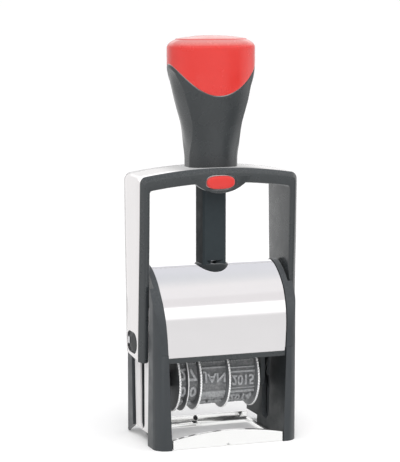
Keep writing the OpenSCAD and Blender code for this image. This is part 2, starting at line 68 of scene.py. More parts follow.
class Shader:
    """Short calls for building a node tree; inputs may be sockets or plain values."""

    def __init__(self, tree):
        self.tree = tree

    def new(self, kind):
        return self.tree.nodes.new(kind)

    def put(self, socket, value):
        if isinstance(value, bpy.types.NodeSocket):
            self.tree.links.new(value, socket)
        else:
            socket.default_value = value

    def ramp(self, value, start, end, low=0.0, high=1.0, curve="LINEAR"):
        """Maps start..end onto low..high."""
        node = self.new("ShaderNodeMapRange")
        node.interpolation_type = curve
        self.put(node.inputs["Value"], value)
        node.inputs["From Min"].default_value = start
        node.inputs["From Max"].default_value = end
        node.inputs["To Min"].default_value = low
        node.inputs["To Max"].default_value = high
        return node.outputs[0]

    def math(self, operation, a, b=None):
        node = self.new("ShaderNodeMath")
        node.operation = operation
        self.put(node.inputs[0], a)
        if b is not None:
            self.put(node.inputs[1], b)
        return node.outputs[0]

    def mix(self, amount, a, b, blend="MIX"):
        node = self.new("ShaderNodeMix")
        node.data_type = "RGBA"
        node.blend_type = blend
        self.put(node.inputs[0], amount)
        self.put(node.inputs[6], a)
        self.put(node.inputs[7], b)
        return node.outputs[2]

    def axes(self, vector):
        node = self.new("ShaderNodeSeparateXYZ")
        self.put(node.inputs[0], vector)
        return node.outputs

    def colour_ramp(self, value, first, last, stops):
        """stops: (position, colour) between the first and last colours."""
        node = self.new("ShaderNodeValToRGB")
        self.put(node.inputs[0], value)
        elements = node.color_ramp.elements
        elements[0].color = first
        elements[1].color = last
        for position, colour in stops:
            elements.new(position).color = colour
        return node.outputs[0]


class Material(Shader):
    """A new material with one Principled shader and textures in object space."""

    def __init__(self, name):
        self.material = bpy.data.materials.new(name)
        self.material.use_nodes = True
        super().__init__(self.material.node_tree)
        self.tree.nodes.clear()
        output = self.new("ShaderNodeOutputMaterial")
        self.surface = self.new("ShaderNodeBsdfPrincipled")
        self.put(output.inputs[0], self.surface.outputs[0])
        self.place = self.new("ShaderNodeTexCoord").outputs["Object"]

    def noise(self, scale, detail=3.0, rough=0.5, stretch=None):
        node = self.new("ShaderNodeTexNoise")
        vector = self.place
        if stretch:
            mapping = self.new("ShaderNodeMapping")
            mapping.inputs["Scale"].default_value = stretch
            self.put(mapping.inputs["Vector"], self.place)
            vector = mapping.outputs[0]
        self.put(node.inputs["Vector"], vector)
        node.inputs["Scale"].default_value = scale
        node.inputs["Detail"].default_value = detail
        node.inputs["Roughness"].default_value = rough
        return node.outputs["Fac"]

    def facing_up(self):
        return self.axes(self.new("ShaderNodeNewGeometry").outputs["Normal"])[2]


# ------------------------------------------------------------------ materials
DUST = (0.7, 0.7, 0.68, 1)


def moulded(name, colour, rough, grain, wear, mottle=0.10, rough_var=0.10, grain_scale=2600.0,
            spec=0.5, wear_gain=2.2, dust=0.0, edge=0.0003, metallic=0.0, coat=0.0,
            brush=None, brush_depth=0.0, rub=0.0, fleck=None, painted_low_shade=None, marks=0.0, painted_top_light=()):
    """Mottled colour, uneven roughness, fine grain, rubbed edges and dust.

    grain is the bump depth in mm, edge the bevel radius in m and brush a texture stretch.
    painted_low_shade is (start z, end z, colour) in m: painted shade that darkens the colour towards
    the lower z.
    painted_top_light holds (colour, amount, normal z where it starts, normal z where it is full):
    painted light that makes upward faces paler.
    """
    m = Material(name)
    inputs = m.surface.inputs
    metal = metallic >= 0.5
    big = m.noise(scale=55.0, detail=4.0, rough=0.55)
    mid = m.noise(scale=420.0, rough=0.6)
    fine = m.noise(scale=grain_scale, detail=2.0, rough=0.6)
    base = m.mix(m.ramp(big, start=0.3, end=0.7),
                 brighter(colour, 1 - mottle), brighter(colour, 1 + mottle))
    base = m.mix(m.ramp(mid, start=0.35, end=0.75, high=0.35),
                 base, brighter(colour, 1 - 1.6 * mottle))
    if fleck is not None:
        spots = m.noise(scale=900.0, detail=4.0, rough=0.7)
        base = m.mix(m.ramp(spots, start=0.45, end=0.62, high=0.6), base, fleck)
    # painted shade: the colour darkens towards the lower z
    if painted_low_shade is not None:
        start, end, painted_shade_colour = painted_low_shade
        base = m.mix(m.ramp(m.axes(m.place)[2], start, end), base, painted_shade_colour)
    # the bevelled normal strays from the true one only at edges
    bevel = m.new("ShaderNodeBevel")
    bevel.samples = 4
    bevel.inputs["Radius"].default_value = edge
    if wear > 0:
        geometry = m.new("ShaderNodeNewGeometry")
        dot = m.new("ShaderNodeVectorMath")
        dot.operation = "DOT_PRODUCT"
        m.put(dot.inputs[0], bevel.outputs[0])
        m.put(dot.inputs[1], geometry.outputs["Normal"])
        worn = m.ramp(dot.outputs["Value"], start=0.985, end=0.80)
        patches = m.noise(scale=260.0, detail=5.0, rough=0.65)
        worn = m.math("MULTIPLY", worn, m.ramp(patches, start=0.42, end=0.66, low=0.15))
        worn = m.math("MULTIPLY", worn, wear)
        base = m.mix(worn, base, brighter(colour, 1.15 if metal else wear_gain))
    # painted light: faces turned upwards are mixed towards paler tints
    if painted_top_light:
        up = m.facing_up()
        for tint, amount, start, end in painted_top_light:
            base = m.mix(m.ramp(up, start, end, high=amount), base, tint)
    if dust > 0:
        settled = m.ramp(m.facing_up(), start=0.2, end=1.0)
        specks = m.noise(scale=1500.0, detail=5.0, rough=0.7)
        settled = m.math("MULTIPLY", settled, m.ramp(specks, start=0.45, end=0.7))
        base = m.mix(m.math("MULTIPLY", settled, dust), base, DUST)
    if marks > 0:  # sparse fine scratches
        lines = m.noise(scale=700.0, detail=2.0, stretch=(1.0, 0.35, 0.06))
        base = m.mix(m.ramp(lines, start=0.70, end=0.74, high=marks),
                     base, brighter(colour, 0.8 if metal else 1.5))
    m.put(inputs["Base Color"], base)

    uneven = m.noise(scale=130.0, detail=4.0, rough=0.6)
    roughness = m.ramp(uneven, start=0.3, end=0.7,
                       low=max(0.02, rough - rough_var), high=rough + rough_var)
    if rub > 0:
        polished = m.ramp(m.noise(scale=38.0, rough=0.6), start=0.5, end=0.72, high=rub)
        roughness = m.math("SUBTRACT", roughness, polished)
    m.put(inputs["Roughness"], roughness)
    inputs["Metallic"].default_value = metallic
    inputs["Specular IOR Level"].default_value = spec
    if coat:
        inputs["Coat Weight"].default_value = coat
        inputs["Coat Roughness"].default_value = 0.12

    coarse = m.math("MULTIPLY", m.noise(scale=330.0, detail=2.0), 0.6)
    height = m.math("ADD", m.math("MULTIPLY", fine, 1.0), coarse)
    if brush:
        strokes = m.noise(scale=420.0, rough=0.65, stretch=brush)
        height = m.math("ADD", height, m.math("MULTIPLY", strokes, brush_depth))
    bump = m.new("ShaderNodeBump")
    bump.inputs["Strength"].default_value = 1.0
    bump.inputs["Distance"].default_value = grain * MM
    m.put(bump.inputs["Height"], height)
    m.put(bump.inputs["Normal"], bevel.outputs[0])
    m.put(inputs["Normal"], bump.outputs[0])
    return m.material


# dark plastics
DARK = moulded("m_dark_plastic", srgb(46, 50, 52), rough=0.30, mottle=0.06, spec=0.6,
               grain=0.006, wear=0.12, edge=0.0002, dust=0.08, marks=0.08, rub=0.05)
FRAME = moulded("m_frame_plastic", srgb(50, 54, 57), rough=0.42, mottle=0.06, grain=0.009,
                wear=0.18, edge=0.0002, dust=0.08, marks=0.10, rub=0.06)
# inward-facing low faces of the side frames in a darker copy of their plastic: painted shade
FRAME_INSIDE_SHADE = moulded("m_frame_inside_painted_shade", srgb(34, 38, 40), rough=0.45, mottle=0.06, spec=0.2,
                       grain=0.009, wear=0.18, edge=0.0002, marks=0.10)
# the grip darkens towards its foot on the crown: painted shade
HANDLE = moulded("m_handle_plastic", srgb(42, 46, 48), rough=0.27, spec=0.62, grain=0.007,
                 grain_scale=3200.0, wear=0.2, dust=0.03, marks=0.05, rub=0.04,
                 painted_low_shade=(0.1225, 0.1150, srgb(26, 28, 30)))
COLUMN = moulded("m_column_plastic", srgb(52, 58, 61), rough=0.45, spec=0.04, grain=0.004,
                 wear=0.6, wear_gain=1.8, edge=0.00035, marks=0.08, rub=0.05)
# the column's side faces in a darker copy of its plastic: painted shade
COLUMN_SIDE_SHADE = moulded("m_column_side_painted_shade", srgb(31, 35, 37), rough=0.5, spec=0.03, grain=0.004,
                      wear=0.25, marks=0.08, rub=0.05)
# the column's rounded edges in a lighter copy of its plastic: painted highlight
COLUMN_EDGE_HIGHLIGHT = moulded("m_column_edge_painted_highlight", srgb(86, 92, 95), rough=0.45, spec=0.06, grain=0.004,
                      wear=0.0, marks=0.05)
COLLAR = moulded("m_collar_plastic", srgb(34, 38, 40), rough=0.42, spec=0.25, grain=0.005,
                 wear=0.15, dust=0.04, marks=0.06)
BLACK = moulded("m_black_plastic", srgb(32, 34, 35), rough=0.45, grain=0.012, wear=0.4,
                dust=0.12)
# red plastics
# the red turns pink on the cap's bevel and top: painted light from above
RED = moulded("m_red_plastic", srgb(209, 43, 36), rough=0.22, mottle=0.02, grain=0.002,
              wear=0.10, wear_gain=1.4, coat=0.3, marks=0.03,
              painted_top_light=((srgb(218, 144, 138), 0.75, 0.36, 0.84),
                      (srgb(226, 186, 180), 0.14, 0.93, 0.985)))
BUTTON_RED = moulded("m_button_red", srgb(207, 44, 38), rough=0.30, mottle=0.02, grain=0.001,
                     wear=0.0, coat=0.2, marks=0.02)
# dark plastic of the pivot caps, also used as painted shade on the walls of the button opening
PLUG_AND_OPENING_SHADE = moulded("m_plug_plastic_and_opening_shade", srgb(34, 37, 38), rough=0.5, spec=0.15, grain=0.006,
               wear=0.15, marks=0.08)
# metals
CHROME = moulded("m_polished_strip", srgb(233, 230, 230), rough=0.11, mottle=0.015,
                 rough_var=0.03, grain=0.0008, metallic=1.0, wear=0.3,
                 brush=(1.0, 0.06, 1.0), brush_depth=1.2, marks=0.2)


def neck_reflection(material):
    """Darkens the top middle of the strip, which mirrors the neck that stands on it."""
    m = Shader(material.node_tree)
    surface = next(n for n in m.tree.nodes if n.type == "BSDF_PRINCIPLED")
    bright = surface.inputs["Base Color"].links[0].from_socket
    across, _, height = m.axes(m.new("ShaderNodeTexCoord").outputs["Object"])
    middle = m.ramp(m.math("ABSOLUTE", across), start=0.024, end=0.0115, high=0.86,
                    curve="SMOOTHSTEP")
    top = m.ramp(height, start=0.108, end=0.110, curve="SMOOTHSTEP")
    shade = m.mix(m.math("MULTIPLY", middle, top), bright, srgb(62, 64, 66))
    m.put(surface.inputs["Base Color"], shade)


neck_reflection(CHROME)
COVER = moulded("m_cover_metal", srgb(224, 222, 223), rough=0.085, mottle=0.012,
                rough_var=0.02, grain=0.0004, metallic=1.0, wear=0.2,
                brush=(0.05, 1.0, 1.0), brush_depth=1.0, marks=0.06)
LINER = moulded("m_liner_metal", srgb(238, 236, 236), rough=0.42, mottle=0.008,
                rough_var=0.04, grain=0.0004, metallic=0.12, spec=0.3, wear=0.0)
BRIGHT = moulded("m_bright_plate", srgb(248, 248, 247), rough=0.12, mottle=0.012,
                 rough_var=0.03, grain=0.0006, metallic=0.92, wear=0.25,
                 brush=(0.06, 1.0, 1.0), brush_depth=1.0, marks=0.1)
ALUMINIUM = moulded("m_plate_aluminium", srgb(190, 192, 194), rough=0.35, mottle=0.04,
                    grain=0.004, metallic=0.95, wear=0.2,
                    brush=(0.06, 1.0, 1.0), brush_depth=1.5)
STEEL = moulded("m_pin_steel", srgb(200, 200, 202), rough=0.22, mottle=0.04, grain=0.002,
                metallic=1.0, wear=0.2, brush=(0.1, 1.0, 1.0), brush_depth=1.0)
SPRING = moulded("m_spring_steel", srgb(120, 122, 126), rough=0.30, mottle=0.08, grain=0.002,
                 metallic=1.0, wear=0.0, fleck=srgb(120, 112, 104))
# rubbers
RUBBER = moulded("m_band_rubber", srgb(110, 112, 114), rough=0.62, mottle=0.12, grain=0.02,
                 grain_scale=4200.0, wear=0.35, wear_gain=1.7, dust=0.25,
                 fleck=srgb(150, 150, 150))
# raised characters and ridges in lighter rubber than the bands: painted highlight
GLYPH_LIT = moulded("m_glyph_rubber_painted_highlight", srgb(176, 178, 180), rough=0.55, mottle=0.12, grain=0.015,
                grain_scale=4200.0, wear=0.3, wear_gain=1.5, dust=0.2,
                fleck=srgb(104, 104, 106))
DIE = moulded("m_die_rubber", srgb(120, 118, 116), rough=0.6, mottle=0.12, grain=0.02,
              wear=0.3, wear_gain=1.6, fleck=srgb(70, 66, 66))
# wheels and carriage
WHEEL = moulded("m_wheel_plastic", srgb(250, 250, 250), rough=0.35, mottle=0.03, grain=0.008,
                wear=0.1, wear_gain=1.2, dust=0.05)
# the sideways faces of the wheels, darker than their rims: painted shade
WHEEL_FACE_SHADE = moulded("m_wheel_face_painted_shade", srgb(118, 120, 122), rough=0.42, mottle=0.08,
                     grain=0.010, wear=0.2, wear_gain=1.4)
CARRIAGE = moulded("m_carriage_plastic", srgb(70, 74, 76), rough=0.42, mottle=0.08,
                   grain=0.012, wear=0.35, wear_gain=1.6)


def felt(name, colour):
    """Fibrous, blotchy cloth."""
    m = Material(name)
    inputs = m.surface.inputs
    fibre = m.noise(scale=1800.0, detail=6.0, rough=0.8)
    blotch = m.noise(scale=70.0, detail=4.0, rough=0.6)
    base = m.mix(m.ramp(fibre, start=0.3, end=0.7), brighter(colour, 0.6), brighter(colour, 1.5))
    base = m.mix(m.ramp(blotch, start=0.4, end=0.65, high=0.6), base, brighter(colour, 0.45))
    m.put(inputs["Base Color"], base)
    m.put(inputs["Roughness"], m.ramp(fibre, start=0.3, end=0.7, low=0.75, high=0.95))
    inputs["Sheen Weight"].default_value = 0.3
    cells = m.new("ShaderNodeTexVoronoi")
    m.put(cells.inputs["Vector"], m.place)
    cells.inputs["Scale"].default_value = 2400.0
    bump = m.new("ShaderNodeBump")
    bump.inputs["Distance"].default_value = 0.12 * MM
    m.put(bump.inputs["Height"], m.math("ADD", fibre, cells.outputs["Distance"]))
    m.put(inputs["Normal"], bump.outputs[0])
    return m.material


FELT = felt("m_ink_felt", srgb(52, 40, 44))


# ------------------------------------------------------------------ mesh helpers
# A shape is (vertices in mm, faces).
def add_object(name, data):
    obj = bpy.data.objects.new(name, data)
    bpy.context.scene.collection.objects.link(obj)
    return obj


def mesh_of(name, shape):
    vertices, faces = shape
    mesh = bpy.data.meshes.new(name)
    mesh.from_pydata([(x * MM, y * MM, z * MM) for x, y, z in vertices], [], faces)
    return mesh


def clean(mesh, weld):
    bm = bmesh.new()
    bm.from_mesh(mesh)
    if weld:
        bmesh.ops.remove_doubles(bm, verts=bm.verts, dist=2e-6)
    bmesh.ops.recalc_face_normals(bm, faces=bm.faces)
    bm.to_mesh(mesh)
    bm.free()


def finish(name, mesh, body, slot, materials, sharp, replaces=(), weld=True):
    """Makes a mesh into a finished piece, with edges above `sharp` degrees kept crisp."""
    clean(mesh, weld)
    mesh.shade_smooth()
    mesh.set_sharp_from_angle(angle=math.radians(sharp))
    obj = add_object(name, mesh)
    mesh.materials.clear()
    for material in (materials if isinstance(materials, list) else [materials]):
        mesh.materials.append(material)
    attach(obj, body)
    if replaces:
        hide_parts(*replaces)
    return obj


def make(name, shape, *args, **options):
    return finish(name, mesh_of(name, shape), *args, **options)


def temporary(shape):
    mesh = mesh_of("tmp", shape)
    clean(mesh, weld=False)
    return add_object("tmp", mesh)


def boolean(obj, shapes, operation="DIFFERENCE"):
    """Applies each shape in turn to a temporary object's mesh."""
    for shape in shapes:
        cutter = temporary(shape)
        modifier = obj.modifiers.new("b", "BOOLEAN")
        modifier.operation = operation
        modifier.solver = "EXACT"
        modifier.object = cutter
        graph = bpy.context.evaluated_depsgraph_get()
        mesh = bpy.data.meshes.new_from_object(obj.evaluated_get(graph))
        obj.modifiers.clear()
        obj.data = mesh
        bpy.data.objects.remove(cutter)


def take(obj):
    """The mesh of a temporary object, which is removed."""
    mesh = obj.data
    bpy.data.objects.remove(obj)
    return mesh


def prism(outline, axis, start, end):
    """Prism from an outline: axis 'x' takes (y, z), 'y' takes (x, z), 'z' takes (x, y)."""
    def point(p, t):
        return {"x": (t, p[0], p[1]), "y": (p[0], t, p[1]), "z": (p[0], p[1], t)}[axis]
    n = len(outline)
    vertices = [point(p, start) for p in outline] + [point(p, end) for p in outline]
    faces = [list(range(n)), list(range(2 * n - 1, n - 1, -1))]
    faces += [[i, i + n, (i + 1) % n + n, (i + 1) % n] for i in range(n)]
    return vertices, faces


def box(low, high):
    outline = [(low[0], low[1]), (high[0], low[1]), (high[0], high[1]), (low[0], high[1])]
    return prism(outline, "z", low[2], high[2])


def loft_sides(rings):
    """Skins rings of equal length; also returns the vertex numbers of each ring."""
    vertices, faces, rows = [], [], []
    for ring in rings:
        rows.append([len(vertices) + i for i in range(len(ring))])
        vertices += ring
    for a, b in zip(rows, rows[1:]):
        for i in range(len(a)):
            j = (i + 1) % len(a)
            faces.append([a[i], a[j], b[j], b[i]])
    return vertices, faces, rows


def loft(rings, first_step=-1, last_step=1):
    """Closed loft; the steps are the directions in which the end faces run."""
    vertices, faces, rows = loft_sides(rings)
    return vertices, faces + [rows[0][::first_step], rows[-1][::last_step]]


def merge(shapes):
    vertices, faces = [], []
    for more_vertices, more_faces in shapes:
        first = len(vertices)
        vertices += more_vertices
        faces += [[first + i for i in face] for face in more_faces]
    return vertices, faces


def on_arc(cx, cy, r, angle):
    return (cx + r * math.cos(angle), cy + r * math.sin(angle))


def circle(cx, cy, r, n, phase=0):
    return [on_arc(cx, cy, r, 2 * PI * (i + phase) / n) for i in range(n)]


def stadium(cx, cy, half_length, r, n=20):
    """Slot outline: two half circles joined by straight sides."""
    reach = half_length - r
    return ([on_arc(cx + reach, cy, r, -PI / 2 + PI * i / n) for i in range(n + 1)]
            + [on_arc(cx - reach, cy, r, PI / 2 + PI * i / n) for i in range(n + 1)])


def signed_power(v, power):
    return math.copysign(abs(v) ** power, v)


def squarish_oval(cx, cy, a, b, power=0.74, n=56):
    outline = []
    for i in range(n):
        t = 2 * PI * i / n
        outline.append((cx + a * signed_power(math.cos(t), power),
                        cy + b * signed_power(math.sin(t), power)))
    return outline


# ------------------------------------------------------------------ sheet cover
COVER_TOP = 74.4
COVER_HALF_Y = 20.4
SHOULDER_Z = 45.0      # the sheet is upright below this and curves in above
# half width between the cheeks of the side frames
CHEEK_FOOT_X = 24.7    # at z = 0
CHEEK_BEND_X, CHEEK_BEND_Z = 26.0, 38.6
CHEEK_TOP_X, CHEEK_TOP_Z = 27.4, 65
COVER_GAP = 0.1        # clearance from each cheek
SHEET = 0.8            # thickness
ROLL = 0.12            # rounding of the side edges
SPACING = 0.55         # least distance between profile points
COLUMNS = (-1.0, -0.53, 0.017, 0.49, 1.0)  # places across the sheet, as parts of its half width


def cover_half_depth(z):
    t = (z - SHOULDER_Z) / (COVER_TOP - SHOULDER_Z)
    return COVER_HALF_Y * (1.0 if t <= 0 else 0.0 if t >= 1 else (1 - t ** 2.2) ** (2 / 3))


def cover_half_width(z):
    if z < CHEEK_BEND_Z:
        x = CHEEK_FOOT_X + (CHEEK_BEND_X - CHEEK_FOOT_X) * z / CHEEK_BEND_Z
    elif z < CHEEK_TOP_Z:
        x = (CHEEK_BEND_X + 1.4 * (z - CHEEK_BEND_Z) / (CHEEK_TOP_Z - CHEEK_BEND_Z))
    else:
        x = CHEEK_TOP_X
    return x - COVER_GAP


def cover_profile(side, z_low):
    """(y, z) of the outer face from the lower edge to the ridge; side is -1 front, +1 rear."""
    points = [(side * COVER_HALF_Y, z)
              for z in (z_low, z_low + 0.3, (z_low + 45) / 2, SHOULDER_Z)]
    for i in range(1, 400):
        z = 45 + (COVER_TOP - 45) * math.sin(PI / 2 * i / 400)
        points.append((side * cover_half_depth(z), z))
    points.append((0.0, COVER_TOP))
    spaced = []
    for point in points:
        if not spaced or math.dist(spaced[-1], point) > SPACING:
            spaced.append(point)
    return spaced


def crest_z(y):
    """Height of the outer face near the ridge."""
    low, high = 60.0, COVER_TOP
    for _ in range(50):
        middle = (low + high) / 2
        if cover_half_depth(middle) > abs(y):
            low = middle
        else:
            high = middle
    return low


def cover_sheet(name, node, side, z_low, spaced_to, crest_ys, cutters):
    """Spaced points run as far in as |y| = spaced_to; crest_ys carry the sheet to its seam."""
    profile = [p for p in cover_profile(side, z_low) if side * p[0] > spaced_to]
    profile += [(y, crest_z(y)) for y in crest_ys]
    n = len(profile)
    normals = []
    for i in range(n):
        before = profile[max(0, i - 1)]
        after = profile[min(n - 1, i + 1)]
        along = Vector((after[0] - before[0], after[1] - before[1])).normalized()
        normals.append(side * Vector((along.y, -along.x)))

    def column(across, inset, roll):
        """Loop around the section: up the outer face and back down the inner."""
        depths = [(i, roll) for i in range(n)]
        depths += [(i, SHEET - roll) for i in reversed(range(n))]
        ring = []
        for i, depth in depths:
            y, z = profile[i]
            x = across * (cover_half_width(z) - inset)
            ring.append((x, y - normals[i].x * depth, z - normals[i].y * depth))
        return ring

    rings = [column(-1, 0.0, ROLL)]
    rings += [column(across, ROLL, 0.0) for across in COLUMNS]
    rings.append(column(1, 0.0, ROLL))
    vertices, faces, rows = loft_sides(rings)
    m = 2 * n
    for row, step in ((rows[0], 1), (rows[-1], -1)):
        for i in range(n - 1):
            faces.append([row[i], row[i + 1], row[m - 2 - i], row[m - 1 - i]][::step])
    sheet = temporary((vertices, faces))
    boolean(sheet, cutters)
    finish(name, take(sheet), "base", "cover_metal", COVER, sharp=30.0, replaces=(node,))


COLLAR_HOLE = prism(circle(0, 0, 7.25, n=90, phase=0.37), "z", 60, 90)
REAR_WINDOW = box((-23.3, 5, 52.1), (23.3, 30, 59.5))
cover_sheet("front_cover_sheet", "front_cover", side=-1, z_low=38.6, spaced_to=3.27,
            crest_ys=(-3.12,), cutters=[COLLAR_HOLE])
cover_sheet("rear_cover_sheet", "rear_cover", side=1, z_low=44.8, spaced_to=0.3,
            crest_ys=(0.2, -0.9, -2.0, -2.9), cutters=[COLLAR_HOLE, REAR_WINDOW])


# ------------------------------------------------------------------ pieces kept from the CAD
def faces_sideways(face):
    return abs(face.normal[0]) > 0.9


def faces_inwards_low(face):
    return face.normal.x * math.copysign(1, face.center.x) < -0.8 and face.center.z < 0.058


def refine(node, body, slot, materials, width, angle=30.0, second=None, sharp=40.0, edge_slot=None):
    """A copy of a CAD node with edges over `angle` degrees rounded by `width` mm.

    second picks the faces that take the second material; edge_slot is the rounded edges'.
    """
    bm = bmesh.new()
    bm.from_mesh(NODES[node].data)
    bmesh.ops.remove_doubles(bm, verts=bm.verts, dist=2e-6)
    bmesh.ops.dissolve_degenerate(bm, dist=1e-6, edges=bm.edges)
    bmesh.ops.recalc_face_normals(bm, faces=bm.faces)
    if width > 0:
        bmesh.ops.dissolve_limit(bm, angle_limit=math.radians(0.6), verts=bm.verts,
                                 edges=bm.edges)
    name = node + "_v"
    mesh = bpy.data.meshes.new(name)
    bm.to_mesh(mesh)
    bm.free()
    obj = finish(name, mesh, body, slot, materials, sharp, replaces=(node,), weld=False)
    if second:
        for face in obj.data.polygons:
            face.material_index = int(second(face))
    if width > 0:
        bevel = obj.modifiers.new("edge", "BEVEL")
        bevel.limit_method = "ANGLE"
        bevel.angle_limit = math.radians(angle)
        bevel.width = width * MM
        bevel.segments = 2
        bevel.harden_normals = True
        bevel.use_clamp_overlap = True
        if edge_slot is not None:
            bevel.material = edge_slot


# the low inward faces of the side frames take painted shade
SIDE_FRAME = dict(angle=38, second=faces_inwards_low)
# the guide column's side faces take painted shade and its rounded edges a painted highlight
GUIDE_COLUMN = dict(second=faces_sideways, edge_slot=2)
# node, body, slot, materials, edge width in mm, other options
REFINED = (
    ("side_frame_left", "base", "dark_plastic", [FRAME, FRAME_INSIDE_SHADE], 0.3, SIDE_FRAME),
    ("side_frame_right", "base", "dark_plastic", [FRAME, FRAME_INSIDE_SHADE], 0.3, SIDE_FRAME),
    ("side_liner_left", "base", "liner_metal", LINER, 0.06, {}),
    ("side_liner_right", "base", "liner_metal", LINER, 0.06, {}),
    ("upper_housing", "base", "dark_plastic", DARK, 0.2, {}),
    ("bottom_frame", "base", "bright_plate", BRIGHT, 0.15, {}),
    ("guide_column", "base", "column_plastic", [COLUMN, COLUMN_SIDE_SHADE, COLUMN_EDGE_HIGHLIGHT], 0.42,
     GUIDE_COLUMN),
    ("column_collar", "base", "dark_plastic", COLLAR, 0.2, {}),
    ("pad_cassette", "pad", "black_plastic", BLACK, 0.25, {}),
    ("carriage_frame", "carriage", "black_plastic", CARRIAGE, 0.25, {}),
    ("text_plate", "carriage", "plate_aluminium", ALUMINIUM, 0.1, {}),
    ("text_die", "carriage", "die_rubber", DIE, 0.12, {}),
    ("band_bridge", "carriage", "black_plastic", BLACK, 0.12, {}),
    ("wheel_axle", "carriage", "pin_steel", STEEL, 0.2, {}),
    ("axle_spacers", "carriage", "black_plastic", BLACK, 0.15, {}),
    ("cam_pins", "carriage", "pin_steel", STEEL, 0.2, {}),
    ("pivot_pins", "bow", "pin_steel", STEEL, 0.3, {}),
)
for node, body, slot, materials, width, options in REFINED:
    refine(node, body, slot, materials, width, **options)
# each wheel's sideways faces take painted shade
for part in ("day_tens", "day_units", "month", "year"):
    refine(part + "_wheel", part, "wheel_plastic", [WHEEL, WHEEL_FACE_SHADE], width=0.0,
           second=faces_sideways, sharp=28.0)
    refine(part + "_band", "carriage", "band_rubber", RUBBER, width=0.12, angle=40)

# ------------------------------------------------------------------ press bow
CROWN_R = 200.0        # outermost radius of the crown
CROWN_Z = -84.4        # height of the crown's centre
STRIP_T = 1.0          # thickness of the inlaid strip
BOW_HALF_X = 35.0
BOW_CORNER = 3.5
LEG_END = 37.1
LEG_BEND = 41.0        # the slant of the leg ends fades out here
END_ROUND = 0.3        # inset of the rounded leg ends
PIVOT_Z = 42.4
BUTTON_Z = 109.7


def bow_half_depth(z):
    return min(12.6, 9.7 + 0.0452 * (z - 34.5))


def arch_path(half_width, corner, crown, low):
    """(x, z) from the right leg over the crown to the left leg."""
    cx = half_width - corner
    cz = CROWN_Z + math.sqrt((crown - corner) ** 2 - cx * cx)
    turn = math.atan2(cz - CROWN_Z, cx)
    half = [(half_width, low), (half_width, 39.0), (half_width, LEG_BEND)]
    half += [(half_width, LEG_BEND + (cz - LEG_BEND) * i / 3) for i in range(1, 4)]
    half += [on_arc(cx, cz, corner, turn * i / 10) for i in range(11)]
    half += [on_arc(0, CROWN_Z, crown, turn + (PI / 2 - turn) * i / 20) for i in range(1, 21)]
    return half + [(-x, z) for x, z in half[-2::-1]]


def outer_path(inset, low):
    return arch_path(BOW_HALF_X - inset, BOW_CORNER - inset, CROWN_R - inset, low)


def stations(outer, inner):
    """(inner x, inner z, outward x, outward z, thickness, middle z) at each path point."""
    result = []
    for (ox, oz), (ix, iz) in zip(outer, inner):
        out = Vector((ox - ix, oz - iz))
        thick = out.length
        out.normalize()
        result.append((ix, iz, out.x, out.y, thick, (oz + iz) / 2))
    return result


def bow_ring(station, section, lift=0.0):
    """Stands a section of (distance outwards, y) on a station."""
    ix, iz, dx, dz = station[:4]
    return [(ix + dx * s, y, iz + lift + dz * s) for s, y in section]


def frame_section(station, inset=0.0):
    """Front half of (distance outwards, y), mirrored; the lip grips the strip."""
    t, z = station[4:]
    d = bow_half_depth(z) - inset
    lip = t + 0.97 - inset
    half = [(inset, d - 0.9), (inset + 0.10, d - 0.50), (inset + 0.35, d - 0.15),
            (inset + 0.75, d), (t - 1.25, d), (t - 0.98, d - 0.07), (t - 0.74, d - 0.26),
            (t + 0.72 - inset, d - 1.80), (lip - 0.10, d - 2.05), (lip, d - 2.22),
            (t, d - 2.24)]
    return [(s, -y) for s, y in half] + [(s, y) for s, y in half[::-1]]


def strip_section(station):
    t, z = station[4:]
    d = bow_half_depth(z) - 2.3
    half = [(0.02, d), (t - 0.22, d), (t - 0.07, d - 0.07), (t, d - 0.24), (t, d / 2)]
    return [(s, -y) for s, y in half] + [(t, 0.0)] + [(s, y) for s, y in half[::-1]]


def slant(obj):
    """Shears the leg ends so that they finish lower at the front."""
    length = 3.9
    slope = 2.1 / 19.6
    for v in obj.data.vertices:
        z = v.co.z / MM
        if z < LEG_BEND:
            v.co.z += MM * (LEG_BEND - z) / length * slope * (v.co.y / MM - 9.8)


def pivot_seat(x0, x1, gap=0.0):
    return prism(stadium(0.6, PIVOT_Z, 7.0 + gap, 4.5 + gap), "x", x0, x1)


def button_lobe():
    """Rounded lobe under the crown that carries the lock button."""
    rings = []
    for y, r in ((-12.63, 16.35), (-12.5, 16.62), (-12.2, 16.8), (-9.2, 16.8)):
        reach = math.acos(10.0 / r)
        angles = [-reach + 2 * reach * i / 40 for i in range(41)]
        rings.append([(r * math.sin(a), y, 122 - r * math.cos(a)) for a in angles])
    return loft(rings)


